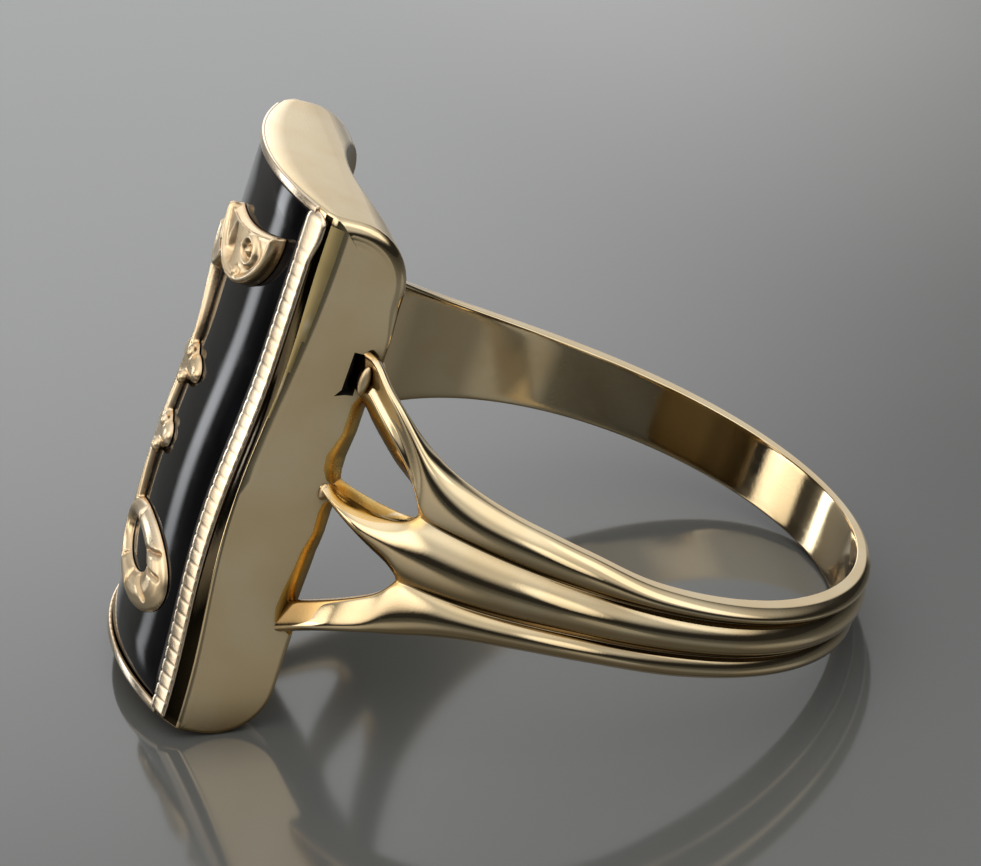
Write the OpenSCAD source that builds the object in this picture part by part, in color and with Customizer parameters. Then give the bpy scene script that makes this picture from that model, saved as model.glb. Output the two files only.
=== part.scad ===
// Initial ring: a long curved head with a black stone plate and an applied
// gold ornament, on a reeded shank whose shoulders open into three prongs.
// Millimetres. +Z is up, and the ring lies on its side as it rests on a table:
// on the lower rounded corner of its head and on the back of its shank.
// Every piece is drawn in the ring's own frame, Z along the finger and the
// head on the -X side, and resting() then lays it down.

/* [Finger] */
// Radius of the finger opening
bore_r = 8.75; // [7:0.05:11]

/* [Head] */
// Length of the head along the finger
head_length = 15.5; // [12:0.1:20]
// Width of the head across the finger
head_width = 9.9; // [8:0.1:13]
// Distance from the finger's axis to the middle of the face
face_x = 11.2; // [10.5:0.05:13]
// Radius of the face's curve across the finger
face_r = 9.8; // [8:0.1:20]
// Distance from the finger's axis to the back edge of the side walls
wall_back = 7.45; // [6:0.05:8.5]
// Radius of the head's rounded back corners, seen from the side
corner_r = 1.75; // [0.5:0.05:3]
// Width of the gold rim around the stone at the sides
side_rim = 1.05; // [0.6:0.05:2]
// Width of the gold rim around the stone at the ends
end_rim = 0.55; // [0.4:0.05:1.5]
// Width of the sloped band between the beading and the side wall
bevel_width = 0.55; // [0:0.05:1]
// How far that band falls
bevel_drop = 0.14; // [0:0.02:0.5]

/* [Beading] */
// Distance from bead to bead
bead_pitch = 0.38; // [0.3:0.02:0.8]
// Width of the beaded strip
bead_width = 0.46; // [0.3:0.02:0.8]
// Height of the beads over the rim
bead_height = 0.1; // [0.05:0.01:0.3]

/* [Stone] */
// Thickness of the stone plate in the middle
stone_t = 1.1; // [0.8:0.05:2]
// Gap left all around the stone
stone_gap = 0.04; // [0.02:0.01:0.1]

/* [Ornament] */
// Height of the ornament over the stone
ornament_t = 0.34; // [0.2:0.02:0.8]
// Gap between the ornament and the stone
ornament_gap = 0.03; // [0.02:0.01:0.1]
// Half width of the large leaf at the top
leaf_half = 2.15; // [1.5:0.05:2.6]
// Height of the large leaf's upper edge
leaf_top = 6.05; // [5:0.05:6.4]
// Width of the stem
stem_width = 0.8; // [0.6:0.05:1.2]
// Height of the middle of the loop, below the middle of the head
loop_drop = 4.4; // [4:0.05:4.8]
// Half width of the loop
loop_half = 2; // [1.8:0.05:2.5]

/* [Shank] */
// Width of the band at the back
band_back = 2; // [1.4:0.05:4]
// Width of the shoulders at the head
band_head = 8.9; // [5:0.1:12]
// How fast the band widens towards the head
band_power = 4.6; // [2:0.1:8]
// Thickness of the band at its two edges
edge_t = 0.48; // [0.3:0.02:1]
// Thickness of the band at the middle ridge
ridge_t = 1; // [0.6:0.02:1.6]
// Part of that thickness left at the back
back_part = 0.55; // [0.4:0.05:1]
// Angle from the back at which the shoulders split
split_angle = 129; // [110:1:138]
// Half width of the middle prong at the split
prong_half = 0.78; // [0.4:0.02:1.2]
// How much higher the shoulder on the -Y side meets the head
shoulder_rise = 0.2; // [0:0.05:0.4]

/* [Hidden] */
$fn = 96;
half_length = head_length / 2;
half_width = head_width / 2;
face_axis = face_r - face_x;
stone_half_y = half_width - side_rim;
stone_half_z = half_length - end_rim;
// far enough to cut through a face or to reach into a wall
beyond = 1;

// the shank runs round from inside one side wall to inside the other
end_angle = 151;
wall_angle = 149;
stations = 36;
// how far the strands are sunk under the bore, which trims them
root = 0.3;
// half height where the valley between two strands starts at the back
valley_back = 0.5;
valley_t = 0.4;
// overlap of neighbouring strands along their valley
lap = 0.06;
// heights of the outer prong's inner edge at the split and at the wall
notch_z = 0.95;
foot_z = 3.15;
// half width of the middle prong's foot
foot_half = 0.5;
// angles over which the band thins towards the back
thin_from = 8;
thin_over = 62;
// profiles of the strands: place across the strand, height over the bore
outer_profile = [
    [1, edge_t],
    [0.9, edge_t + 0.15],
    [0.68, 0.82 * ridge_t],
    [0.42, 0.84 * ridge_t],
    [0.18, 0.68 * ridge_t],
    [0, valley_t]];
middle_profile = [
    [1, valley_t],
    [0.86, 0.74 * ridge_t],
    [0.68, 0.93 * ridge_t],
    [0.5, ridge_t],
    [0.32, 0.93 * ridge_t],
    [0.14, 0.74 * ridge_t],
    [0, valley_t]];

// the scooped cut along each wall's back edge, between two feet
scoop_depth = 0.65;
scoop_in = 0.62;
scoop_low = 0.4;
scoop_high = 3.15;

// section of a beaded strip: place across its half width, part of the bead's height
bead_profile = [[-0.85, 0.5], [-0.35, 1], [0.35, 1], [0.85, 0.5]];
bead_sunk = 0.2;
// what is left of a bead's height between two beads
bead_valley = 0.35;
bead_inset = 0.02;

// places on the ornament, across the face and along it
stem_y = 0.65;
leaf_y = -1.5;
// how far a leaf reaches down, as part of its half width
leaf_depth = 0.92;
// how much a leaf's upper edge is turned
leaf_turn = 8;
small_leaf_y = 1.05;
small_leaf_drop = 1.45;
small_leaf_part = 0.5;
loop_y = -0.9;
loop_height = 1.38;
hole_y = -0.85;
hole_half_y = 0.85;
hole_half_z = 0.58;
// knops on the stem: height, half width
knops = [[1.25, 1.8], [-0.65, 1.5]];
knop_y = 0.3;
knop_r = 0.7;
knop_half_z = 0.45;
knop_bead_r = 0.22;
knop_bead_y = 0.6;
curl_r = 0.32;
curl_wire_r = 0.12;

// a line over the two rests: the head's rounded corner and the shank's back edge
back_x = bore_r + edge_t * back_part;
rest_rise = half_length - corner_r - band_back / 2;
rest_run = back_x + wall_back + corner_r;
lean = atan2(rest_rise, rest_run) + asin(corner_r / norm([rest_rise, rest_run]));
lift = band_back / 2 * cos(lean) + back_x * sin(lean);
// the finger's axis stands this far from the middle of the resting ring
middle_x = -2.17;

gold_mount();
onyx_plate();
gold_ornament();

// lays the ring on the table, the origin under the middle of its box
module resting() {
    translate([-middle_x, 0, lift]) rotate([0, lean, 0]) children();
}

// Shared forms
// closed solid through a row of sections, each with the same number of points
module loft(sections) {
    n = len(sections[0]);
    last = len(sections) - 1;
    polyhedron(
        points = [for (s = sections) each s],
        faces = concat(
            [[for (k = [0 : n - 1]) k]],
            [for (i = [0 : last - 1], k = [0 : n - 1])
                [i * n + k, (i + 1) * n + k, (i + 1) * n + (k + 1) % n]],
            [for (i = [0 : last - 1], k = [0 : n - 1])
                [i * n + k, (i + 1) * n + (k + 1) % n, i * n + (k + 1) % n]],
            [[for (k = [n - 1 : -1 : 0]) last * n + k]]));
}

// point of the face's cylinder at angle a across it, height z and radius r
function face_point(a, z, r) = [face_axis - r * cos(a), r * sin(a), z];

// round bar along the face's axis of curvature
module face_bar(r, half_z) {
    translate([face_axis, 0, -half_z]) cylinder(r = r, h = 2 * half_z);
}

// flat shape in (y, z) pushed through the face
module through_face() {
    translate([-face_x - 3 * beyond, 0, 0])
        rotate([90, 0, 90])
            linear_extrude(6 * beyond) children();
}

// Head
// block of the head, its two back corners rounded, reaching past the face
module head_block() {
    arc_x = -wall_back - corner_r;
    front_x = -face_x - beyond;
    translate([front_x, -half_width, -half_length])
        cube([arc_x - front_x, head_width, head_length]);
    translate([arc_x - beyond, -half_width, -half_length + corner_r])
        cube([corner_r + beyond, head_width, head_length - 2 * corner_r]);
    for (s = [-1, 1])
        translate([arc_x, half_width, s * (half_length - corner_r)])
            rotate([90, 0, 0]) cylinder(r = corner_r, h = head_width);
}

// cuts the sloped band along one side of the face
module side_bevel(s) {
    y0 = half_width - bevel_width;
    x0 = face_axis - sqrt(face_r * face_r - y0 * y0);
    x1 = face_axis - sqrt(face_r * face_r - half_width * half_width) + bevel_drop;
    out = half_width + beyond;
    translate([0, 0, -half_length - beyond])
        linear_extrude(head_length + 2 * beyond)
            polygon([[x0, s * y0], [x1, s * half_width], [x1, s * out],
                     [x0 - 2 * beyond, s * out], [x0 - 2 * beyond, s * y0]]);
}

// cuts a scoop along a side wall's back edge, between two feet
module scoop(s, low, high) {
    out = half_width + 0.05;
    inner = half_width - scoop_in;
    rise = s < 0 ? shoulder_rise : 0;
    translate([0, 0, low + rise])
        linear_extrude(high - low)
            polygon([[-wall_back - scoop_depth, s * out], [-wall_back + 0.1, s * inner],
                     [-wall_back + beyond, s * inner], [-wall_back + beyond, s * out]]);
}

// cuts the seat of the stone, its floor curved as the face is
module stone_seat() {
    difference() {
        translate([-face_x - beyond, -stone_half_y, -stone_half_z])
            cube([4 * beyond, 2 * stone_half_y, 2 * stone_half_z]);
        face_bar(face_r - stone_t - stone_gap, half_length);
    }
}

module head() {
    difference() {
        intersection() {
            head_block();
            face_bar(face_r, half_length + beyond);
        }
        for (s = [-1, 1]) {
            side_bevel(s);
            scoop(s, scoop_low, scoop_high);
            scoop(s, -scoop_high, -scoop_low);
        }
        stone_seat();
    }
}

// height of a beaded strip at its i-th section: bead, valley, bead
function bead_at(i) = bead_height * (i % 2 == 0 ? 1 : bead_valley);

// row of beads along one side of the stone
module bead_side(s) {
    y = half_width - bevel_width - bead_width / 2 - bead_inset;
    a = s * asin(y / face_r);
    half_a = asin(bead_width / 2 / face_r);
    count = floor((2 * stone_half_z - 2 * bead_width) / bead_pitch);
    loft([for (i = [-count : count])
        let (z = i * bead_pitch / 2)
        concat([face_point(a - half_a, z, face_r - bead_sunk)],
               [for (p = bead_profile) face_point(a + p[0] * half_a, z, face_r + p[1] * bead_at(i))],
               [face_point(a + half_a, z, face_r - bead_sunk)])]);
}

// row of beads along one end of the stone
module bead_end(s) {
    z = s * (half_length - end_rim / 2);
    half_z = bead_width / 2;
    step = asin(bead_pitch / 2 / face_r);
    count = floor(asin((stone_half_y - 0.1) / face_r) / step);
    loft([for (i = [-count : count])
        let (a = i * step)
        concat([face_point(a, z - half_z, face_r - bead_sunk)],
               [for (p = bead_profile) face_point(a, z + p[0] * half_z, face_r + p[1] * bead_at(i))],
               [face_point(a, z + half_z, face_r - bead_sunk)])]);
}

// Shank
// half width of the band at angle a from the back
function band_half(a) =
    band_back / 2 + (band_head - band_back) / 2 * pow(abs(a) / 150, band_power);

// height of the valley between the middle and an outer ridge
function valley(a) =
    valley_back + (prong_half - valley_back) * pow(min(abs(a), split_angle) / split_angle, 1.5);

// how far past the split, 0 to 1 at the wall
function spread(a) =
    min(1, max(0, (abs(a) - split_angle) / (wall_angle - split_angle)));

// inner edge of an outer prong
function outer_low(a) =
    spread(a) == 0 ? valley(a) - lap
        : notch_z - 0.2 + (foot_z - notch_z + 0.2) * pow(spread(a), 0.8);

// half width of the middle prong
function middle_half(a) =
    spread(a) == 0 ? valley(a) + lap
        : prong_half + lap - (prong_half + lap - foot_half) * pow(spread(a), 1.4);

// smooth step from 0 to 1
function ease(u) = let (c = max(0, min(1, u))) c * c * (3 - 2 * c);

// the band thins towards the back
function thickness(a) =
    back_part + (1 - back_part) * ease((abs(a) - thin_from) / thin_over);

// the shoulder on the -Y side climbs a little
function climb(a) = a < 0 ? shoulder_rise * ease((-a - 60) / 90) : 0;

// section of a strand from height low to high at angle a
function strand(profile, low, high, a) =
    let (w = high - low, t = thickness(a))
    concat([around(a, bore_r - root, high)],
           [for (p = profile) around(a, bore_r + p[1] * t, low + p[0] * w)],
           [around(a, bore_r - root, low)]);

function around(a, r, z) = [r * cos(a), r * sin(a), z];

module outer_strand(s, angles) {
    mirror([0, 0, s < 0 ? 1 : 0])
        loft([for (a = angles)
            strand(outer_profile, outer_low(a) + s * climb(a), band_half(a) + s * climb(a), a)]);
}

module middle_strand(angles) {
    loft([for (a = angles)
        strand(middle_profile, climb(a) - middle_half(a), climb(a) + middle_half(a), a)]);
}

module shank() {
    angles = [for (i = [-stations : stations]) end_angle * i / stations];
    outer_strand(1, angles);
    outer_strand(-1, angles);
    middle_strand(angles);
}

// Ornament
// points of an ellipse with half axes p and q about (y, z)
function oval(y, z, p, q, n) =
    [for (i = [0 : n - 1]) [y + p * cos(360 * i / n), z + q * sin(360 * i / n)]];

// drop standing on its round end, its point turned by turn degrees
function drop(y, z, r, turn) =
    [for (i = [0 : 23])
        let (a = 15 * i, long = 1 + 1.3 * pow(max(0, sin(a)), 6),
             u = r * cos(a), v = r * long * sin(a))
        [y + u * cos(turn) - v * sin(turn), z + u * sin(turn) + v * cos(turn)]];

// half round leaf, its straight edge up and turned towards side s
module leaf(y, top, half, s) {
    through_face()
        translate([y, top])
            rotate(-s * leaf_turn)
                polygon([for (i = [0 : 24])
                    let (a = 180 + 7.5 * i)
                    [half * cos(a), leaf_depth * half * sin(a)]]);
}

// drop-shaped opening in the large leaf
module leaf_opening() {
    through_face()
        polygon(drop(leaf_y + 0.3 * leaf_half, leaf_top - 0.5 * leaf_half, 0.14 * leaf_half, 15));
}

// straight bar from the loop up to the large leaf
module stem() {
    low = -loop_drop + 0.4 * loop_height;
    high = leaf_top - 0.4 * leaf_half;
    through_face() translate([stem_y - stem_width / 2, low]) square([stem_width, high - low]);
}

// lobed disc on the stem
module knop(z, half) {
    through_face() polygon(oval(knop_y, z, half, knop_half_z, 36));
    through_face() translate([knop_y, z]) circle(r = knop_r);
}

module ring_loop() {
    difference() {
        through_face() polygon(oval(loop_y, -loop_drop, loop_half, loop_height, 48));
        through_face() polygon(oval(hole_y, -loop_drop + 0.08, hole_half_y, hole_half_z, 36));
    }
}

// stands a form on the ornament's top at (y, z)
module on_ornament(y, z, sunk) {
    a = asin(y / face_r);
    translate(face_point(a, z, face_r + ornament_t - sunk)) rotate([0, -90, -a]) children();
}

module bead(y, z, r) {
    on_ornament(y, z, 0.3 * r) sphere(r = r, $fn = 24);
}

// raised ring on the large leaf
module curl(y, z) {
    on_ornament(y, z, 0.4 * curl_wire_r)
        rotate_extrude($fn = 36) translate([curl_r, 0]) circle(r = curl_wire_r, $fn = 16);
}

module gold_ornament() color([0.86, 0.68, 0.46]) resting() {
    intersection() {
        union() {
            leaf(leaf_y, leaf_top, leaf_half, 1);
            leaf(small_leaf_y, leaf_top - small_leaf_drop, leaf_half * small_leaf_part, -1);
            stem();
            for (k = knops) knop(k[0], k[1]);
            ring_loop();
        }
        difference() {
            face_bar(face_r + ornament_t, half_length);
            face_bar(face_r - stone_gap + ornament_gap, half_length + beyond);
            leaf_opening();
        }
    }
    for (k = knops, s = [-1, 1])
        bead(knop_y + s * knop_bead_y, k[0], knop_bead_r);
    bead(leaf_y - 0.8, leaf_top - 1.05, 0.2);
    curl(leaf_y - 0.95, leaf_top - 0.35);
}

module onyx_plate() color([0.03, 0.03, 0.035]) resting() {
    half_y = stone_half_y - stone_gap;
    half_z = stone_half_z - stone_gap;
    intersection() {
        translate([-face_x - beyond, -half_y, -half_z])
            cube([4 * beyond, 2 * half_y, 2 * half_z]);
        difference() {
            face_bar(face_r - stone_gap, half_length);
            face_bar(face_r - stone_t, half_length + beyond);
        }
    }
}

module gold_mount() color([0.80, 0.66, 0.38]) resting() {
    difference() {
        union() {
            head();
            for (s = [-1, 1]) {
                bead_side(s);
                bead_end(s);
            }
            shank();
        }
        translate([0, 0, -half_length - beyond])
            cylinder(r = bore_r, h = head_length + 2 * beyond);
    }
}
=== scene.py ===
from math import asin, atan2, cos, hypot, pi, radians, sin, sqrt, tan

import bmesh
import bpy
import numpy as np
from mathutils import Matrix, Vector


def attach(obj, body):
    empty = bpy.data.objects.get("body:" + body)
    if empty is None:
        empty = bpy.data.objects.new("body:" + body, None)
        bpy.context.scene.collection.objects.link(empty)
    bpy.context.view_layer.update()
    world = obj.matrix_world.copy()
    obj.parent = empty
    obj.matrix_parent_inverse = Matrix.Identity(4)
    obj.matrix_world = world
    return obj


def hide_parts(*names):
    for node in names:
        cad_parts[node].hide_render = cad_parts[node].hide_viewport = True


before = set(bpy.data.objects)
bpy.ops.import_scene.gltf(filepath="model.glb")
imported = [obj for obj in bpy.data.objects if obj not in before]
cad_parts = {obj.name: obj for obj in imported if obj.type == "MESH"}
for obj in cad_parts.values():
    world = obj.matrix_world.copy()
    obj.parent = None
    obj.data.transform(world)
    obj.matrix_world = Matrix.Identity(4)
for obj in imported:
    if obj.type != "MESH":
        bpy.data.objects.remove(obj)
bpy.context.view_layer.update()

# Sizes in millimetres, as in the part's source. Every form is worked out in the
# ring's own frame, Z along the finger and the head on the -X side, and place()
# then lays it down and turns it into metres.
MM = 0.001
BORE_R = 8.75
HALF_LENGTH = 7.75
HALF_WIDTH = 4.95
FACE_X = 11.2
FACE_R = 9.8
FACE_AXIS = FACE_R - FACE_X
WALL_BACK = 7.45
CORNER_R = 1.75
STONE_HALF_Y = 3.9
STONE_HALF_Z = 7.48
STONE_T = 1.1
STONE_GAP = 0.04
SEAT_R = FACE_R - STONE_T - STONE_GAP
BEVEL_WIDTH = 0.47
BEVEL_DROP = 0.14
BEAD_PITCH = 0.38
# the face swells between its ends, and the side wall's front edge more so: by how much, at
# what height, and how far each way
BOW = (0.25, -2.2, 5.5)
EDGE_BOW = (0.28, 0.6, 6.6)
BAND_BACK = 2.0
BAND_HEAD = 8.9
BAND_HEAD_ANGLE = 150
BAND_POWER = 4.6
EDGE_T = 0.48
BACK_PART = 0.55
SPLIT_ANGLE = 129
WALL_ANGLE = 149
END_ANGLE = 151
PRONG_HALF = 0.78
SHOULDER_RISE = 0.2

# a line over the two rests gives the lean, as in the part's source
REST_RISE = HALF_LENGTH - CORNER_R - BAND_BACK / 2
REST_RUN = BORE_R + EDGE_T * BACK_PART + WALL_BACK + CORNER_R
LEAN = atan2(REST_RISE, REST_RUN) + asin(CORNER_R / hypot(REST_RISE, REST_RUN))
LIFT = BAND_BACK / 2 * cos(LEAN) + (BORE_R + EDGE_T * BACK_PART) * sin(LEAN)
MIDDLE_X = -2.17

WELD = 1e-4  # points this near to each other become one
POLE = 0.05  # a ball starts this far from its pole, in radians


def place(points):
    """Points of the ring's own frame, in mm, as they lie on the table, in metres."""
    p = np.asarray(points, float)
    c, s = cos(LEAN), sin(LEAN)
    x = p[:, 0] * c + p[:, 2] * s - MIDDLE_X
    z = -p[:, 0] * s + p[:, 2] * c + LIFT
    return np.stack([x, p[:, 1], z], axis=1) * MM


def ease(u):
    """Smooth step from 0 to 1."""
    u = np.clip(u, 0.0, 1.0)
    return u * u * (3 - 2 * u)


def fade(x, start, over):
    """Smooth step from 0 at start to 1 at start + over; each _FADE holds these two."""
    return float(ease((x - start) / over))


def bow(z, shape=BOW):
    """How far the face stands out at height z."""
    most, middle, reach = shape
    u = min(1.0, abs(z - middle) / reach)
    return most * cos(pi / 2 * u) ** 2


def sine(degrees):
    return sin(radians(degrees))


def cosine(degrees):
    return cos(radians(degrees))


def full_turn(count):
    return np.linspace(0, 2 * pi, count, endpoint=False)


class Skin:
    """Points and faces of a piece, gathered in the ring's own frame."""

    def __init__(self):
        self.points = []
        self.faces = []

    def loft(self, rings, closed=False):
        """Skin through rings of as many points each; capped unless closed."""
        n, rows, base = len(rings[0]), len(rings), len(self.points)
        for ring in rings:
            self.points += [tuple(map(float, p)) for p in ring]
        for i in range(rows if closed else rows - 1):
            a, b = base + i * n, base + (i + 1) % rows * n
            self.faces += [[a + k, a + (k + 1) % n, b + (k + 1) % n, b + k] for k in range(n)]
        if not closed:
            self.faces.append([base + k for k in range(n)][::-1])
            self.faces.append([base + (rows - 1) * n + k for k in range(n)])

    def ball(self, middle, half, around=20, rows=12):
        """Ball with three half sizes."""
        (x, y, z), (p, q, r) = middle, half
        self.loft([[(x + p * sin(t) * cos(a), y + q * sin(t) * sin(a),
                     z + r * cos(t)) for a in full_turn(around)]
                   for t in np.linspace(POLE, pi - POLE, rows)])

    def flat_mesh(self, name, weld=0.0):
        """Mesh as worked out, in mm."""
        return make_mesh(name, self.points, self.faces, weld)

    def mesh(self, name, weld=0.0, creases=None):
        return make_mesh(name, place(self.points), self.faces, weld * MM, creases)


def make_mesh(name, points, faces, weld=0.0, creases=None):
    """Mesh with its faces turned outwards, and near points welded on request."""
    bm = bmesh.new()
    verts = [bm.verts.new(p) for p in points]
    bm.verts.index_update()
    for face in faces:
        bm.faces.new([verts[i] for i in face])
    if creases:
        layer = bm.edges.layers.float.new("crease_edge")
        for (i, j), value in creases.items():
            bm.edges.get((verts[i], verts[j]))[layer] = value
    if weld:
        bmesh.ops.remove_doubles(bm, verts=bm.verts, dist=weld)
        bmesh.ops.dissolve_degenerate(bm, edges=bm.edges, dist=weld)
    bmesh.ops.recalc_face_normals(bm, faces=bm.faces)
    for face in bm.faces:
        face.smooth = True
    mesh = bpy.data.meshes.new(name)
    bm.to_mesh(mesh)
    bm.free()
    return mesh


def add_object(name, data):
    made = bpy.data.objects.new(name, data)
    bpy.context.scene.collection.objects.link(made)
    return made


def evaluated_mesh(o):
    depsgraph = bpy.context.evaluated_depsgraph_get()
    return bpy.data.meshes.new_from_object(o.evaluated_get(depsgraph))


def move_points(mesh, change):
    """Runs all of a mesh's points through change."""
    p = np.empty(len(mesh.vertices) * 3)
    mesh.vertices.foreach_get("co", p)
    mesh.vertices.foreach_set("co", np.asarray(change(p.reshape(-1, 3))).ravel())
    mesh.update()


def make_piece(name, mesh, material, node, subdivide=0, sharp=None):
    """A piece of the visual model, riding on the ring's only body."""
    if sharp:
        mesh.set_sharp_from_angle(angle=radians(sharp))
    if material:
        mesh.materials.clear()
        mesh.materials.append(material)
    piece = add_object(name, mesh)
    if subdivide:
        modifier = piece.modifiers.new("subdivide", "SUBSURF")
        modifier.levels = modifier.render_levels = subdivide
    if sharp:
        piece.modifiers.new("normals", "WEIGHTED_NORMAL").keep_sharp = True
    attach(piece, "root")
    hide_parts(node)
    return piece


# Head
EDGE_ROUND = 0.06  # front edge of the end plates
SIDE_ROUND = 0.36  # edge of near side wall and upper end plate
PLAIN_ROUND = 0.12  # the same edge at the three other corners
CORNER_FADE = (4.6, 1.3)  # it goes on round the back corner
BACK_ROUND = 0.14  # back edge of the side wall
FRONT_ROUND = 0.07  # edge between side wall and sloped band, low down
FRONT_ROUND_TOP = 0.28  # and near the top
FRONT_FADE = (2.0, 4.5)
STRIP_GROOVE = 0.035  # groove beside the rounded strip on the upper end plate
STRIP_RINGS = [(0.05, 1.0), (0.11, 0.85), (0.2, 0.4), (0.34, 0.0)]  # place and share of it
GROOVE_AT_EDGE, GROOVE_AT_CORNER = 0.6, 0.65  # share left there
# back edge of the side wall between the feet: height, and how deep it is filed away
SCOOPS = [
    (-4.2, BACK_ROUND), (-3.95, 0.62), (-3.5, 0.72), (-2.9, 0.67), (-2.2, 0.58), (-1.7, 0.54),
    (-1.1, 0.4), (-0.45, 0.44), (-0.15, 0.38), (0.02, BACK_ROUND), (0.32, BACK_ROUND), (0.48, 0.5),
    (0.8, 0.68), (1.2, 0.72), (1.5, 0.62), (1.9, 0.5), (2.8, 0.5), (3.05, 0.38), (3.35, BACK_ROUND),
]
CLIP_ROUND = 0.15  # where the rounded corner meets the finger's cylinder
FLOOR_STEPS = 16
ARC_STEPS = 10
BACK_STEPS = 60
SEAT_STATIONS = 10  # stations over the stone, then over its rim
RIM_STATIONS = (STONE_HALF_Y, 4.1, 4.3, 4.42, 4.465, 4.495, 4.56, 4.62)
TURN_STEP = 15
ARC_X = -WALL_BACK - CORNER_R
ARC_Z = HALF_LENGTH - CORNER_R
# gap beside the near upper foot, cut into the wall: corners in (x, z), and depth
SLOT = [(-8.33, 4.27), (-8.0, 4.27), (-8.0, 3.05), (-8.22, 3.02), (-8.5, 2.92), (-8.35, 3.14)]
SLOT_DEPTH = 0.45
SLOT_START = 0.3  # the cutter begins this far outside the wall
# limits of the faces in another gold, which x, z and distance inside the wall give
# the filed back edge between the feet gets the orange gold, painted shade
FILED_X, FILED_IN, FILED_Z = -8.4, (0.003, 0.75), (-4.15, 3.35)
# the sloped bands' faces get the near-black gold, a painted dark reflection
BEVEL_X, BEVEL_END = -9.5, 0.1
# the side wall's wide front edge gets the darker satin gold, partly painted shade
SATIN_X, SATIN_IN, SATIN_LOW = -9.4, 0.04, 1.9


def arc_x(y, r=FACE_R):
    """Arc across the head: the face, or at radius r from its axis."""
    return FACE_AXIS - sqrt(r * r - y * y)


def front_x(y):
    """Front of the head, over the face and down the sloped bands."""
    y0 = HALF_WIDTH - BEVEL_WIDTH
    if y <= y0:
        return arc_x(y)
    fall = arc_x(HALF_WIDTH) + BEVEL_DROP - arc_x(y0)
    return arc_x(y0) + fall * (y - y0) / BEVEL_WIDTH


def back_x(y):
    """Back of the head: the finger's cylinder or the side walls' back edge."""
    return min(-WALL_BACK, -sqrt(BORE_R ** 2 - y * y))


def side_round(side, sign):
    """Rounding of the edge between a side wall and an end plate."""
    return SIDE_ROUND if side < 0 < sign else PLAIN_ROUND


def front_round(z):
    """Rounding of the side wall's front edge at height z."""
    return FRONT_ROUND + (FRONT_ROUND_TOP - FRONT_ROUND) * fade(z, *FRONT_FADE)


def back_round(z, side):
    """Rounding of the side wall's back edge at height z."""
    scoop = float(np.interp(z, *zip(*SCOOPS)))
    return scoop + fade(abs(z), *CORNER_FADE) * (side_round(side, z) - BACK_ROUND)


def outline_marks():
    """Marks along half of the head's outline, from mid front to mid back."""
    marks = [("floor", STONE_HALF_Z * i / FLOOR_STEPS) for i in range(FLOOR_STEPS + 1)]
    marks += [("front", STONE_HALF_Z)]
    marks += [("edge", t) for t in (0, 30, 60, 90)]
    marks += [("end", f) for f in (0.3, 0.65, 1.0)]
    marks += [("arc", i / ARC_STEPS) for i in range(1, ARC_STEPS + 1)]
    marks += [("clip", f) for f in (0.25, 0.5, 0.75)]
    return marks + [("back", i / BACK_STEPS) for i in range(BACK_STEPS + 1)]


def corner_geometry(y):
    """Angle and height where the corner's arc ends, and how far its rounding reaches."""
    angle = asin(min(1.0, (back_x(y) - ARC_X) / CORNER_R))
    reach = CLIP_ROUND * tan((pi / 2 - angle) / 2)
    return angle, ARC_Z + CORNER_R * cos(angle), reach


def outline_point(kind, value, y, seat):
    """(x, z, outward x, outward z) of a mark, y from the middle."""
    fx = front_x(y)
    if kind == "floor":
        return (arc_x(y, SEAT_R) if seat else fx), value, -1.0, 0.0
    if kind == "front":
        return fx, value, -1.0, 0.0
    if kind == "edge":
        c, s = cosine(value), sine(value)
        return fx + EDGE_ROUND * (1 - c), HALF_LENGTH - EDGE_ROUND * (1 - s), -c, s
    if kind == "end":
        start = fx + EDGE_ROUND
        return start + (ARC_X - start) * value, HALF_LENGTH, 0.0, 1.0
    angle, corner_z, reach = corner_geometry(y)
    bx = back_x(y)
    if kind == "back":
        return bx, (corner_z - reach) * (1 - value), 1.0, 0.0
    t = angle - reach / CORNER_R
    if kind == "arc":
        t *= value
    ax, az = ARC_X + CORNER_R * sin(t), ARC_Z + CORNER_R * cos(t)
    if kind == "arc":
        return ax, az, sin(t), cos(t)
    u, v = 1 - value, value
    return (u * u * ax + 2 * u * v * bx + v * v * bx,
            u * u * az + 2 * u * v * corner_z + v * v * (corner_z - reach), 1.0, 0.0)


def outline_round(kind, value, sign, side):
    """Rounding between this mark of the outline and the side wall."""
    if kind in ("floor", "front"):
        return front_round(sign * value)
    if kind == "edge":
        start = front_round(sign * HALF_LENGTH)
        return start + (side_round(side, sign) - start) * sine(value)
    if kind == "back":
        return back_round(sign * ARC_Z * (1 - value), side)
    return side_round(side, sign)


def groove_share(kind, value, sign, side):
    """Share of the groove's depth at a mark of the outline."""
    if side > 0 or sign < 0:
        return 0.0
    if kind == "end":
        return 1.0 - (1.0 - GROOVE_AT_CORNER) * value
    if kind == "arc":
        return GROOVE_AT_CORNER * (1.0 - value)
    return GROOVE_AT_EDGE * sine(value) if kind == "edge" else 0.0


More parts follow.
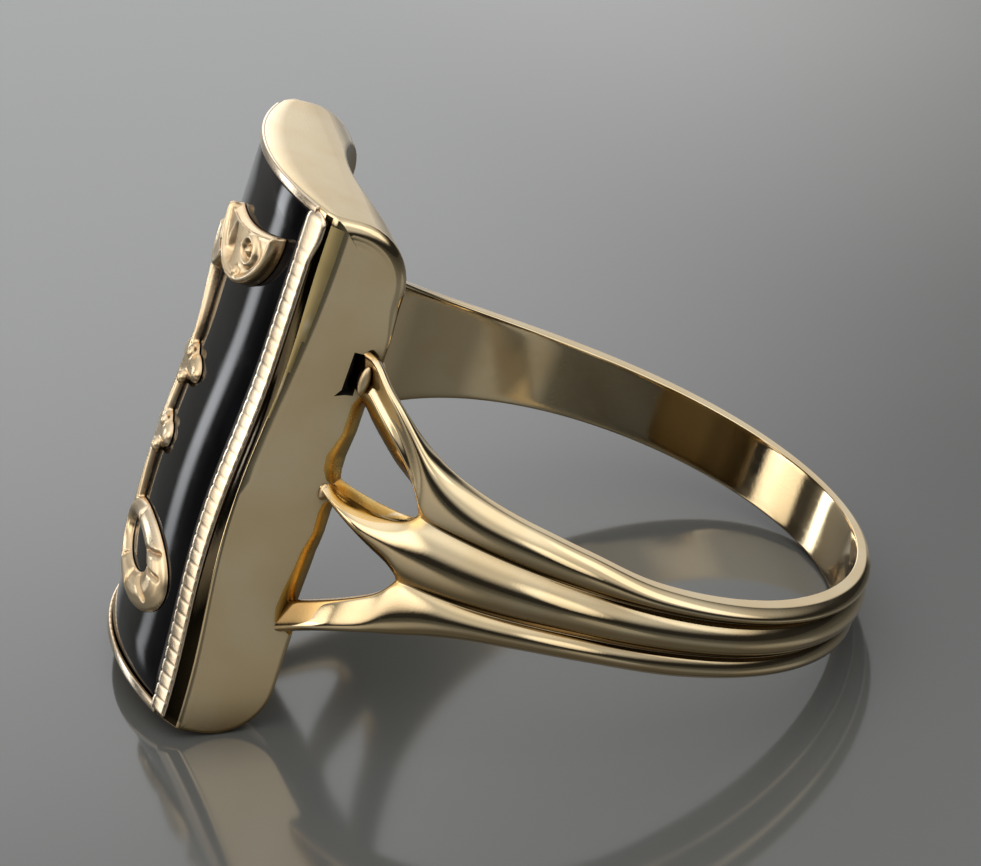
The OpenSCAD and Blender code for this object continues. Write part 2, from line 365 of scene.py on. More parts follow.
def head_ring(y, side, seat=False, turn=None, keep=0.0, groove=0.0):
    """Outline of the head at y from the middle, or at angle turn round the side edge."""
    marks = outline_marks()
    ring = []
    for sign, row in ((1, marks), (-1, marks[-2:0:-1])):
        for kind, value in row:
            rho = outline_round(kind, value, sign, side)
            if turn is None:
                at, inset = min(y, HALF_WIDTH - rho), 0.0
            else:
                corner = 1 - cosine(turn)
                at = HALF_WIDTH - rho * (1 - sine(turn))
                at -= groove * STRIP_GROOVE * groove_share(kind, value, sign, side)
                inset = rho * corner + keep
            x, z, nx, nz = outline_point(kind, value, min(at, HALF_WIDTH), seat)
            x, z = x - nx * inset, z - nz * inset
            if turn is not None and kind in ("floor", "front", "edge", "end"):
                z = min(z, HALF_LENGTH - side_round(side, sign) * corner - keep)
                x = max(x, front_x(at) + front_round(sign * HALF_LENGTH) * corner + keep)
            if kind in ("floor", "front"):
                slope = min(1.0, max(0.0, (at - HALF_WIDTH + BEVEL_WIDTH) / BEVEL_WIDTH))
                x -= bow(sign * z) + slope * bow(sign * z, EDGE_BOW)
            ring.append((x, side * at, sign * z))
    return ring


def head_rings(side):
    """Stations of the head from the middle out to one side wall."""
    rings = [head_ring(y, side, seat=True) for y in np.linspace(0, STONE_HALF_Y, SEAT_STATIONS)]
    rings += [head_ring(y, side) for y in RIM_STATIONS]
    rings += [head_ring(0, side, turn=t) for t in range(0, 91, TURN_STEP)]
    rings += [head_ring(0, side, turn=90, keep=keep, groove=share) for keep, share in STRIP_RINGS]
    return rings


def cut_slot(head, hollow):
    """The head's mesh with the gap cut out, its walls in the near-black painted shade material."""
    skin = Skin()
    skin.loft([[(x, y, z) for x, z in SLOT]
               for y in (-HALF_WIDTH - SLOT_START, SLOT_DEPTH - HALF_WIDTH)])
    cutter = add_object("slot", skin.flat_mesh("slot"))
    cutter.data.materials.append(hollow)
    block = add_object("block", head)
    cut = block.modifiers.new("cut", "BOOLEAN")
    cut.object, cut.solver, cut.material_mode = cutter, "EXACT", "TRANSFER"
    mesh = evaluated_mesh(block)
    for o in (cutter, block):
        bpy.data.objects.remove(o)
    return mesh


def gold_at(point):
    """Gold of a face of the head: 1 on the filed back edge between two feet, whose deep orange is
    painted shade, 2 on the sloped bands, near black as a painted dark reflection, 3 on the side
    wall's wide front edge, whose darker satin gold is partly painted shade, and 0 elsewhere."""
    x, z, inside = point[0], point[2], HALF_WIDTH - abs(point[1])
    if FILED_IN[0] < inside < FILED_IN[1] and x > FILED_X and FILED_Z[0] < z < FILED_Z[1]:
        return 1
    if front_round(z) < inside < BEVEL_WIDTH and x < BEVEL_X and abs(z) < HALF_LENGTH - BEVEL_END:
        return 2
    if SATIN_IN < inside < front_round(z) and x < SATIN_X and SATIN_LOW < z < STONE_HALF_Z:
        return 3
    return 0


def build_head(hollow, polished, *others):
    skin = Skin()
    skin.loft(head_rings(-1)[::-1] + head_rings(1)[1:])
    mesh = skin.flat_mesh("head_block", WELD)
    mesh.materials.append(polished)
    mesh = cut_slot(mesh, hollow)
    last = len(mesh.materials) - 1
    for other in others:
        mesh.materials.append(other)
    for face in mesh.polygons:
        gold = gold_at(face.center)
        if gold and face.material_index == 0:
            face.material_index = last + gold
    move_points(mesh, place)
    make_piece("gold_head", mesh, None, "gold_mount", sharp=35)


# Beading
BEAD_STEPS = 8
BEAD_HALF = 0.31  # half width of a row at the sides
END_BEAD_HALF = 0.1  # and at the ends
BEAD_HEIGHT = 0.085
END_BEAD_HIGH = 0.75  # share of that height at the ends
BEAD_SUNK = 0.06
BEAD_SECTION = 9
BEAD_CROWN = 0.28  # the smaller, the flatter on top
BEAD_LOW = 0.86  # share of the height between two beads
BEAD_NARROW = 0.84  # and of the half width on the stone's side
BEAD_WIDEN = 0.5  # the smooth end is that much wider on its outer side
BEAD_ROW_Y = 4.14
BEAD_ROW_Z = 7.6
BEAD_ROW_HALF = HALF_LENGTH - 0.12  # half length of a side row
BEAD_DRIFT = 0.1  # the side rows lean out so far at the bottom
END_LENGTH = 0.3  # rounded upper end of a side row
END_NARROW = 0.04  # square of the width left there
FLARE_LENGTH, FLARE_OVER = 1.5, 0.9  # smooth upper piece of it
SMOOTH_END = 0.85  # how smooth the upper end row is
LOWER_FADE = (-0.5, 3.0)  # how the lower one turns smooth, over -y


def grain(s):
    """1 on top of a bead, 0 between two, s beads along the row."""
    u = (s % 1.0) * 2 - 1
    return sqrt(max(0.0, 1 - u ** 4))


def bead_ring(s, smooth, half, across, end=1.0, tall=1.0):
    """Section of the beading; across(u, h) is the point at u across the row and height h.
    The stone's side, at negative u, is scalloped; smooth takes that away and widens the rest."""
    g = grain(s)
    kept = g + (1 - g) * smooth
    high = (BEAD_LOW + (1 - BEAD_LOW) * kept) * end * tall
    inner = BEAD_NARROW + (1 - BEAD_NARROW) * kept
    outer = 1.0 + BEAD_WIDEN * smooth
    half *= end
    ring = [across(-inner * half, -BEAD_SUNK)]
    for k in range(BEAD_SECTION):
        t = pi * (k + 0.5) / BEAD_SECTION
        wide = inner if cos(t) > 0 else outer
        ring.append(across(-wide * half * cos(t), BEAD_HEIGHT * high * sin(t) ** BEAD_CROWN))
    ring.append(across(outer * half, -BEAD_SUNK))
    return ring


def on_face(y, z, h):
    """Point at height h over the face, y across it."""
    a = asin(max(-1, min(1, y / FACE_R)))
    return (FACE_AXIS - bow(z) - (FACE_R + h) * cos(a), (FACE_R + h) * sin(a), z)


def round_end(left):
    """Share of a side row's width at distance left from its upper end."""
    u = min(1.0, left / END_LENGTH)
    return sqrt(max(END_NARROW, 1 - (1 - u) ** 2))


def side_bead(side, z, s):
    """Section of a side row at height z, s beads from its lower end."""
    y = BEAD_ROW_Y + BEAD_DRIFT * float(ease(-z / BEAD_ROW_HALF))
    smooth = fade(z, BEAD_ROW_HALF - FLARE_LENGTH, FLARE_OVER)
    return bead_ring(s, smooth, BEAD_HALF, lambda u, h: on_face(side * (y + u), z, h),
                     end=round_end(BEAD_ROW_HALF - z))


def end_bead(sign, y, s):
    """Section of the upper (sign 1) or lower row at y, s beads from its near end."""
    smooth = SMOOTH_END if sign > 0 else fade(-y, *LOWER_FADE)
    return bead_ring(s, smooth, END_BEAD_HALF,
                     lambda u, h: on_face(y, sign * (BEAD_ROW_Z + u), h), tall=END_BEAD_HIGH)


def build_beading(material):
    skin = Skin()
    for section, half in ((side_bead, BEAD_ROW_HALF), (end_bead, BEAD_ROW_Y)):
        count = int(2 * half / BEAD_PITCH * BEAD_STEPS)
        places = [-half + 2 * half * i / count for i in range(count + 1)]
        for sign in (-1, 1):
            skin.loft([section(sign, at, (at + half) / BEAD_PITCH) for at in places])
    make_piece("gold_beading", skin.mesh("gold_beading"), material, "gold_mount")


# Shank
STEP_ANGLE = 3.0
PRONG_STATIONS = 14
FOOT_UP, FOOT_DOWN = 2.85, 3.3  # inner edges of the outer prongs at the wall
MIDDLE_UP, MIDDLE_DOWN = 0.4, 0.15
VALLEY_H = 0.62  # height of the grooves over the bore
VALLEY_BACK = 0.5  # where they lie at the back of the band
VALLEY_POWER = 1.5
GROOVE_UP = 0.03  # the upper one is that much higher
GROOVE_BACK, GROOVE_BACK_FADE = 0.2, (75, 45)  # the lower one is further in behind
GROOVE_SPLIT, GROOVE_SPLIT_FADE = 0.28, (95, 34)  # and further out at the split
GROOVE_CREASE = 0.75
CROTCH = 0.24  # how suddenly the prongs part at the split
CROTCH_OVER = 2.5
FOOT_POWER, MIDDLE_POWER = 0.85, 0.9  # how straight the prongs run to their feet
LEAN_OUT = 0.6  # the upper prong's outer side leans up so far
LEAN_IN = 0.6  # and its inner edge on the bore down
LEAN_FAST = 1.3  # how fast its height takes up the lean
LEAN_FROM, LEAN_OVER, LEAN_END = 125.5, 13.0, 6.5
SLANT = 0.34  # the middle prong's outer side is that much lower
FEET = (0.82, 0.72, 0.78)  # height of the upper, middle and lower foot
FEET_FADE = (136, 12)
# on the -Y side: angle, and how far the upper edge is outside of the band's curve
UPPER_TRIM = [
    (88, 0), (98, 0.12), (107, 0.06), (117, -0.15), (127, -0.36), (135, -0.42), (142, -0.42),
    (149, -0.25),
]
# and the lower edge
LOWER_TRIM = [(80, 0), (93, -0.1), (104, -0.14), (115, -0.14), (126, 0)]
THIN_FADE = (8, 62)  # the band grows thicker
CLIMB_FADE = (60, 90)
LOWER_CLIMB, LOWER_CLIMB_FADE = 0.9, (120, 30)  # the lower prong loses this share
EDGE_SOFT = 0.05
# place across the strand (0 at its valley, 1 at the band's edge) and height over the bore
OUTER_SECTION = [
    (1.0, EDGE_SOFT), (1.0, 0.4), (0.985, 0.5), (0.93, 0.61), (0.84, 0.72), (0.72, 0.805),
    (0.58, 0.86), (0.44, 0.865), (0.3, 0.83), (0.17, 0.77), (0.07, 0.7), (0.0, VALLEY_H),
]
# flatter past PRONG_FADE
PRONG_SECTION = [
    (1.0, EDGE_SOFT), (1.0, 0.5), (0.985, 0.66), (0.95, 0.78), (0.89, 0.86), (0.79, 0.89),
    (0.66, 0.865), (0.5, 0.82), (0.34, 0.775), (0.19, 0.73), (0.07, 0.69), (0.0, VALLEY_H),
]
# the upper one past UPPER_FADE, with a flat beside the opening
UPPER_SECTION = [
    (1.0, EDGE_SOFT), (1.0, 0.5), (0.985, 0.66), (0.95, 0.78), (0.9, 0.865), (0.84, 0.885),
    (0.72, 0.86), (0.56, 0.815), (0.42, 0.775), (0.3, 0.745), (0.14, 0.81), (0.0, 0.865),
]
UPPER_CREASE = 9  # the point of it where the flat begins
UPPER_CREASE_RATE = 4  # how soon past the split it is sharp
MIDDLE_SECTION = [
    (0.94, 0.7), (0.86, 0.8), (0.75, 0.9), (0.63, 0.97), (0.5, 1.0), (0.37, 0.97), (0.25, 0.9),
    (0.14, 0.8), (0.06, 0.7),
]
BORE_SECTION = (0.985, 0.5, 0.0)
PRONG_FADE = (118, 16)
UPPER_FADE = 0.45  # as a share of the way to the wall
SAME = 1e-6  # angles this near are the same
# drops of solder at the middle and the upper foot: middle and half sizes
SOLDER = [((-7.93, -4.95, 0.16), (0.13, 0.14, 0.24)), ((-7.92, -5.3, 3.66), (0.15, 0.13, 0.42))]


def band_half(a):
    """Half width of the band at angle a from the back."""
    wider = (abs(a) / BAND_HEAD_ANGLE) ** BAND_POWER
    return BAND_BACK / 2 + (BAND_HEAD - BAND_BACK) / 2 * wider


def valley(a):
    """Height of the groove beside the middle strand."""
    part = (min(abs(a), SPLIT_ANGLE) / SPLIT_ANGLE) ** VALLEY_POWER
    return VALLEY_BACK + (PRONG_HALF - VALLEY_BACK) * part


def spread(a):
    """How far past the split, 0 to 1 at the wall."""
    return min(1.0, max(0.0, (abs(a) - SPLIT_ANGLE) / (WALL_ANGLE - SPLIT_ANGLE)))


def groove(a, s):
    """The same on its upper (s 1) or lower side."""
    if s > 0:
        return valley(a) + GROOVE_UP
    closer = GROOVE_BACK * (1 - fade(abs(a), *GROOVE_BACK_FADE))
    return valley(a) - closer + GROOVE_SPLIT * fade(abs(a), *GROOVE_SPLIT_FADE)


def parting(a):
    """Extra opening right past the split, which rounds the crotch."""
    return CROTCH * fade(abs(a), SPLIT_ANGLE, CROTCH_OVER) * (1 - spread(a))


def outer_low(a, s):
    """Inner edge of an outer prong."""
    start = groove(min(abs(a), SPLIT_ANGLE), s)
    foot = FOOT_UP if s > 0 else FOOT_DOWN
    return start + (foot - start) * spread(a) ** FOOT_POWER + parting(a)


def outer_high(a, s):
    """Outer edge of an outer strand."""
    if a >= 0:
        return band_half(a)
    return band_half(a) + float(np.interp(-a, *zip(*(UPPER_TRIM if s > 0 else LOWER_TRIM))))


def middle_reach(a, s):
    """How far the middle prong reaches up (s 1) or down."""
    start = groove(min(abs(a), SPLIT_ANGLE), s)
    foot = MIDDLE_UP if s > 0 else MIDDLE_DOWN
    return start - (start - foot) * spread(a) ** MIDDLE_POWER - parting(a) / 2


def lean(a):
    """Share of a prong's lean, full half way between split and wall."""
    return fade(abs(a), LEAN_FROM, LEAN_OVER) * float(ease((END_ANGLE - abs(a)) / LEAN_END))


def thickness(a, k):
    """Thickness of strand k, from the top; less at the prongs' feet."""
    band = BACK_PART + (1 - BACK_PART) * fade(abs(a), *THIN_FADE)
    return band * (1 - (1 - FEET[k]) * fade(abs(a), *FEET_FADE))


def climb(a, s=1):
    """The shoulder on the -Y side climbs a little, its lower prong less."""
    if a >= 0:
        return 0.0
    share = 1.0 if s >= 0 else 1.0 - LOWER_CLIMB * fade(-a, *LOWER_CLIMB_FADE)
    return SHOULDER_RISE * share * fade(-a, *CLIMB_FADE)


def around(a, r, z):
    return (r * cosine(a), r * sine(a), z)


def outer_section(s, a):
    """Outer strand's section from the band's edge to its valley, then its bore side."""
    low, high, rise = outer_low(a, s), outer_high(a, s), climb(a, s)
    t = thickness(a, 0 if s > 0 else 2)
    flat = fade(abs(a), *PRONG_FADE)
    share, parted = (lean(a), float(ease(spread(a) / UPPER_FADE))) if s > 0 else (0.0, 0.0)
    top = []
    for (p, h), (q, g), (r, k) in zip(OUTER_SECTION, PRONG_SECTION, UPPER_SECTION):
        q, g = q + (r - q) * parted, g + (k - g) * parted
        over, height = p + (q - p) * flat, h + (g - h) * flat
        z = rise + LEAN_OUT * share * min(1.0, LEAN_FAST * height) + s * (low + over * (high - low))
        top.append(around(a, BORE_R + height * t, z))
    inner = low - LEAN_IN * share
    bore = [around(a, BORE_R, rise + s * (inner + p * (high - inner))) for p in BORE_SECTION]
    return top, bore


def middle_section(a):
    """Middle strand's outer side, without its ends."""
    up, down, rise = middle_reach(a, 1) - SLANT * lean(a), middle_reach(a, -1), climb(a)
    t = thickness(a, 1)
    return [around(a, BORE_R + h * t, rise + up - (up + down) * (1 - p))
            for p, h in MIDDLE_SECTION]


class Strands(Skin):
    """Skin of the shank: one up to the split, three prongs past it."""

    def __init__(self):
        super().__init__()
        self.creases, self.filed = {}, set()
        half = list(np.arange(0, SPLIT_ANGLE - 0.6 * STEP_ANGLE, STEP_ANGLE))
        half += list(np.linspace(SPLIT_ANGLE, END_ANGLE, PRONG_STATIONS))
        angles = [-a for a in half[:0:-1]] + half
        rows = [self.row(a) for a in angles]
        for (a, one), (b, two) in zip(zip(angles, rows), zip(angles[1:], rows[1:])):
            split = min(abs(a), abs(b)) >= SPLIT_ANGLE - SAME
            if a < 0 and split:
                sharp = min(1.0, UPPER_CREASE_RATE * min(spread(a), spread(b)))
                self.crease(one[0]["top"][UPPER_CREASE], two[0]["top"][UPPER_CREASE], sharp)
            for k, (p, q) in enumerate(zip(one, two)):
                self.join(k, p, q, split)
        for k in range(3):
            self.cap(rows[0][k], True)
            self.cap(rows[-1][k], False)

    def cap(self, prong, start):
        loop = prong["top"] + prong["bore"][::-1]
        self.faces.append(loop if start else loop[::-1])

    def crease(self, i, j, value):
        self.creases[tuple(sorted((i, j)))] = value

    def put(self, points):
        """Numbers of new points."""
        self.points += points
        return list(range(len(self.points) - len(points), len(self.points)))

    def row(self, a):
        """Points of the strands at angle a; neighbours share a valley up to the split."""
        upper, lower = [dict(zip(("top", "bore"), map(self.put, outer_section(s, a))))
                        for s in (1, -1)]
        inner = self.put(middle_section(a))
        if abs(a) > SPLIT_ANGLE + SAME:
            edges = [climb(a) + s * middle_reach(a, s) for s in (1, -1)]
            ends = self.put([around(a, BORE_R + VALLEY_H * thickness(a, 1), z - drop * lean(a))
                             for z, drop in zip(edges, (SLANT, 0.0))])
            roots = self.put([around(a, BORE_R, z) for z in edges])
        else:
            ends, roots = [[upper[key][-1], lower[key][-1]] for key in ("top", "bore")]
        middle = {"top": [ends[0]] + inner + [ends[1]],
                  "bore": [roots[0]] + self.put([around(a, BORE_R, climb(a))]) + [roots[1]]}
        return upper, middle, lower

    def join(self, k, p, q, split):
        """Skin of strand k between two stations."""
        for key in ("top", "bore"):
            for i in range(len(p[key]) - 1):
                self.faces.append([p[key][i], p[key][i + 1], q[key][i + 1], q[key][i]])
        if k != 1:
            self.faces.append([p["bore"][0], p["top"][0], q["top"][0], q["bore"][0]])
        for i in {0: [-1], 1: [0, -1], 2: [-1]}[k] if split else []:
            if (k, i) != (1, -1):
                self.filed.add(len(self.faces))
            self.faces.append([p["top"][i], p["bore"][i], q["bore"][i], q["top"][i]])
        if k == 1 and not split:
            for i in (0, -1):
                self.crease(p["top"][i], q["top"][i], GROOVE_CREASE)


def build_shank(material, filed):
    strands = Strands()
    mesh = strands.mesh("gold_shank", creases=strands.creases)
    mesh.materials.append(material)
    # the prongs' cut sides take the orange filed gold, painted shade in the crotches
    mesh.materials.append(filed)
    for i in strands.filed:
        mesh.polygons[i].material_index = 1
    make_piece("gold_shank", mesh, None, "gold_mount", subdivide=2)


def build_solder(material):
    skin = Skin()
    for middle, half in SOLDER:
        skin.ball(middle, half, around=24, rows=14)
    make_piece("gold_solder", skin.mesh("gold_solder"), material, "gold_mount")


# Stone
STONE_SOFT = 0.05  # rounding of its edges
STONE_PART = 0.3 * STONE_SOFT  # how far in the rounding's middle lies
STONE_EVEN_Z = 6.6  # up to this height its rows are evenly spaced
STONE_ROWS, TOP_POINTS, BACK_POINTS = 24, 40, 12


def stone_section(inset):
    """(y, distance from the face's axis) round the stone's section."""
    reach, low = STONE_HALF_Y - STONE_GAP - inset, FACE_R - STONE_T
    high = FACE_R - STONE_GAP - inset
    edge = [(reach, low + STONE_SOFT), (reach, high - STONE_SOFT)]
    edge += [(reach - STONE_PART, high - STONE_PART)]
    top = [(y, high) for y in np.linspace(reach - STONE_SOFT, -reach + STONE_SOFT, TOP_POINTS)]
    back = [(y, low) for y in np.linspace(-reach, reach, BACK_POINTS)]
    return edge + top + [(-y, r) for y, r in edge[::-1]] + back


def build_stone(material):
    skin = Skin()
    half = STONE_HALF_Z - STONE_GAP
    ends = [(0, STONE_SOFT), (STONE_PART, STONE_PART), (STONE_SOFT, 0)]
    rows = [(dz - half, inset) for dz, inset in ends]
    rows += [(z, 0.0) for z in np.linspace(-STONE_EVEN_Z, STONE_EVEN_Z, STONE_ROWS)]
    rows += [(half - dz, inset) for dz, inset in ends[::-1]]
    skin.loft([[(arc_x(y, r) - bow(z), y, z) for y, r in stone_section(inset)]
               for z, inset in rows])
    mesh = skin.mesh("onyx", weld=WELD)
    make_piece("onyx", mesh, material, "onyx_plate", sharp=40)


# Ornament, worked out flat: y across the face, z along it and h over it, in mm
LEAF_HALF, LEAF_TOP, LEAF_Y, LEAF_DEPTH, LEAF_TURN = 1.98, 6.05, -1.28, 0.94, 8
HOLLOW = 0.1  # how far a leaf's upper edge curves in
LEAF_POINTS = 40  # along its round side
LEAF_LIP, SMALL_LIP = (0.16, 0.18, 0.13), (0.13, 0.16, 0.1)  # inset, height and radius
CURL_AT, CURL_HALF, CURL_H, CURL_R, CURL_POINTS = (-0.9, -0.62), (0.38, 0.36), 0.22, 0.11, 36
LEAF_BALLS = [CURL_AT, (-0.45, -1.45)]  # from the middle of its upper edge
LEAF_BALL_H, LEAF_BALL_HALF = 0.2, (0.17, 0.17, 0.136)
SMALL_LEAF_Y, SMALL_LEAF_DROP, SMALL_LEAF_PART = 1.05, 1.45, 0.5
STEM_Y, STEM_HALF, STEM_PART = 0.62, 0.31, 0.4
STEM_AWAY, STEM_FROM, STEM_OVER = 0.6, 1.8, 2.2  # its upper end is further over
STEM_WAVE, STEM_WAVE_RATE = 0.05, 1.1
STEM_SWELL, STEM_SWELL_AT, STEM_SWELL_RATE = 0.18, 0.3, 1.6
STEM_HIGH, STEM_LOW = 0.24, 0.12
STEM_ROWS = 60
LEAF_HIGH = 0.5  # the leaves stand higher by this share
LEAF_HIGH_FADE = (1.5, 2.5)
LOOP_Y, LOOP_Z, LOOP_HALF, LOOP_HEIGHT = -0.91, -4.55, 2.31, 1.4
HOLE_Y, HOLE_UP, HOLE_HALF_Y, HOLE_HALF_Z = -0.46, 0.08, 1.3, 0.6
LOOP_POINTS = 72
# from its outer edge to its hole: share of the way, and height
LOOP_SECTION = [
    (0, -0.12), (0, 0.05), (0.06, 0.13), (0.2, 0.21), (0.42, 0.27), (0.62, 0.26), (0.84, 0.18),
    (0.97, 0.08), (1.0, 0.0), (1.0, -0.12),
]
KNOPS = [(0.95, 1.3), (-1.2, 0.95)]  # height and half width
KNOP_Y, KNOP_HALF, KNOP_WIDE = 0.3, 0.6, 0.62
LOBE_UP, LOBE_PART, LOBE_HIGH = 0.1, 0.5, 0.62  # lobes beside a knop
KNOP_POINTS = 36
KNOP_BALLS = [(-0.3, -0.6, 0.23), (-0.2, 0.6, 0.18)]  # aside, share of the height up, radius
KNOP_BALL_H, KNOP_BALL_FLAT = 0.17, 0.85
UNDER = -0.12  # the forms start this far down
SOFT_EDGE = [(0.0, 0.05), (0.05, 0.12), (0.13, 0.18), (0.26, 0.22), (0.45, 0.23)]
BASE_H = 0.03  # gap over the stone
VOXEL = 0.036
# engraved lines: from (y, z) to (y, z), with depth and half width
CREASES = [((-2.55, -3.75), (-1.75, -4.0), 0.14, 0.07), ((-2.85, -4.35), (-1.9, -4.45), 0.12, 0.06),
           ((-2.35, -5.2), (-1.45, -4.95), 0.15, 0.08), ((-0.9, -5.75), (-0.75, -5.0), 0.12, 0.07),
           ((0.3, -5.2), (-0.1, -4.7), 0.1, 0.07), ((-0.7, -3.05), (-0.8, -3.7), 0.1, 0.07)]
CREASE_FADE = (0.05, 0.1)  # heights that are engraved
# drop in the leaf: middle, half width, half length, how pointed, depth, and its soft edge
DROP_AT = (LEAF_Y + 0.3 * LEAF_HALF, LEAF_TOP - 0.5 * LEAF_HALF)
DROP_HALF, DROP_LONG, DROP_POINT, DROP_DEPTH, DROP_EDGE = 0.3, 0.52, 0.6, 0.14, (1.2, 0.6)


def inset_outline(outline, amount):
    """Closed outline moved inwards by amount; it runs counterclockwise."""
    p = np.asarray(outline, float)
    along = np.roll(p, -1, axis=0) - np.roll(p, 1, axis=0)
    along /= np.linalg.norm(along, axis=1)[:, None] + 1e-9
    return p + amount * np.stack([-along[:, 1], along[:, 0]], axis=1)


def at_height(line, h):
    return np.column_stack([line, np.full(len(line), h)])


def pillow(skin, outline, profile):
    """Raised form over an outline; profile is insets and heights from the edge in."""
    skin.loft([at_height(inset_outline(outline, amount), h)
               for amount, h in [(0.0, UNDER)] + profile])


def rod(skin, path, radius):
    """Round rod along a path of points."""
    path = np.asarray(path, float)
    along = np.gradient(path, axis=0)
    along /= np.linalg.norm(along, axis=1)[:, None]
    rings = []
    for p, d in zip(path, along):
        side = np.array([-d[1], d[0], 0.0])
        side /= np.linalg.norm(side) + 1e-9
        rings.append([p + radius * (cos(t) * side + sin(t) * np.array([0, 0, 1.0]))
                      for t in full_turn(12)])
    skin.loft(rings)


def oval(y, z, p, q, turns):
    return np.column_stack([y + p * np.cos(turns), z + q * np.sin(turns)])


def leaf_outline(y, top, half, side):
    """Half round leaf, its hollow edge up."""
    t = np.linspace(pi, 2 * pi, LEAF_POINTS)
    arc = oval(0.0, 0.0, half, LEAF_DEPTH * half, t)
    u = np.linspace(0, 1, LEAF_POINTS // 2 + 2)[1:-1]
    edge = np.column_stack([half * (1 - 2 * u), -HOLLOW * half * np.sin(pi * u)])
    p = np.concatenate([arc, edge])
    c, s = cosine(LEAF_TURN), -side * sine(LEAF_TURN)
    return np.column_stack([y + c * p[:, 0] - s * p[:, 1], top + s * p[:, 0] + c * p[:, 1]])


def add_leaf(skin, outline, edge, lip):
    """Leaf with a raised lip along its round side."""
    inset, h, radius = lip
    pillow(skin, outline, edge)
    rod(skin, at_height(inset_outline(outline, inset)[:LEAF_POINTS], h), radius)


def add_leaves(skin):
    add_leaf(skin, leaf_outline(LEAF_Y, LEAF_TOP, LEAF_HALF, 1), SOFT_EDGE, LEAF_LIP)
    curl = oval(LEAF_Y + CURL_AT[0], LEAF_TOP + CURL_AT[1], *CURL_HALF,
                np.linspace(0, 2 * pi, CURL_POINTS))
    rod(skin, at_height(curl, CURL_H), CURL_R)
    for y, z in LEAF_BALLS:
        skin.ball((LEAF_Y + y, LEAF_TOP + z, LEAF_BALL_H), LEAF_BALL_HALF)
    small = leaf_outline(SMALL_LEAF_Y, LEAF_TOP - SMALL_LEAF_DROP, LEAF_HALF * SMALL_LEAF_PART, -1)
    add_leaf(skin, small, SOFT_EDGE[:4], SMALL_LIP)


def add_stem(skin):
    z = np.linspace(LOOP_Z + STEM_PART * LOOP_HEIGHT, LEAF_TOP - STEM_PART * LEAF_HALF, STEM_ROWS)
    middle = STEM_Y + STEM_WAVE * np.sin(z * STEM_WAVE_RATE)
    middle += STEM_AWAY * ease((z - STEM_FROM) / STEM_OVER)
    swell = np.cos((z - STEM_SWELL_AT) * STEM_SWELL_RATE)
    width = STEM_HALF * (1 - STEM_SWELL + STEM_SWELL * swell)
    skin.loft([[(y + w * cos(t), v, (STEM_HIGH if sin(t) > 0 else STEM_LOW) * sin(t))
                for t in full_turn(20)] for y, v, w in zip(middle, z, width)])


def add_knops(skin):
    turns = full_turn(KNOP_POINTS)
    for z, half in KNOPS:
        lobe = LOBE_PART * half
        forms = [(KNOP_Y + s * lobe, z + LOBE_UP, lobe, LOBE_HIGH * KNOP_HALF) for s in (-1, 1)]
        for form in forms + [(KNOP_Y, z, KNOP_WIDE, KNOP_HALF)]:
            pillow(skin, oval(*form, turns), SOFT_EDGE[:4])
        for aside, up, radius in KNOP_BALLS:
            skin.ball((KNOP_Y + aside, z + up * KNOP_HALF, KNOP_BALL_H),
                      (radius, radius, KNOP_BALL_FLAT * radius))


def add_loop(skin):
    """Loop of uneven width with a rounded crest."""
    turns = full_turn(LOOP_POINTS)
    outer = oval(LOOP_Y, LOOP_Z, LOOP_HALF, LOOP_HEIGHT, turns)
    inner = oval(HOLE_Y, LOOP_Z + HOLE_UP, HOLE_HALF_Y, HOLE_HALF_Z, turns)
    skin.loft([[(*(p + (q - p) * u), h) for u, h in LOOP_SECTION] for p, q in zip(outer, inner)],
              closed=True)


def engrave(p):
    """Lowers the ornament's skin along its engraved lines and in the leaf's drop."""
    p = p.copy()
    upper = ease((p[:, 2] - CREASE_FADE[0]) / CREASE_FADE[1])
    for a, b, depth, wide in CREASES:
        a, b = np.array(a), np.array(b)
        u = np.clip(((p[:, :2] - a) @ (b - a)) / ((b - a) @ (b - a)), 0, 1)
        gap = np.linalg.norm(p[:, :2] - (a + u[:, None] * (b - a)), axis=1)
        p[:, 2] -= depth * upper * np.exp(-(gap / wide) ** 2)
    dy, dz = (p[:, 0] - DROP_AT[0]) / DROP_HALF, (p[:, 1] - DROP_AT[1]) / DROP_LONG
    gap = np.sqrt(dy * dy * np.clip(1 + DROP_POINT * dz, 0.3, 2.0) + dz * dz)
    p[:, 2] -= DROP_DEPTH * upper * ease((DROP_EDGE[0] - gap) / DROP_EDGE[1])
    return p


def onto_face(p):
    """The cast points, engraved, raised at the leaves and bent onto the face."""
    p = engrave(p)
    start, over = LEAF_HIGH_FADE
    p[:, 2] = np.maximum(p[:, 2] * (1 + LEAF_HIGH * ease((p[:, 1] - start) / over)), BASE_H)
    return place([on_face(y, z, h - STONE_GAP) for y, z, h in p])


def soften(o):
    smooth = o.modifiers.new("soften", "SMOOTH")
    smooth.factor, smooth.iterations = 0.5, 3


def build_ornament(material):
    """One cast form: the parts are fused, softened, engraved and bent onto the face."""
    skin = Skin()
    for add in (add_leaves, add_stem, add_knops, add_loop):
        add(skin)
    flat = add_object("ornament_flat", skin.flat_mesh("ornament_flat"))
    remesh = flat.modifiers.new("fuse", "REMESH")
    remesh.mode, remesh.voxel_size = "VOXEL", VOXEL
    soften(flat)
    mesh = evaluated_mesh(flat)
    bpy.data.objects.remove(flat)
    move_points(mesh, onto_face)
    mesh.shade_smooth()
    mesh.name = "gold_ornament_cast"
    soften(make_piece("ornament", mesh, material, "gold_ornament"))


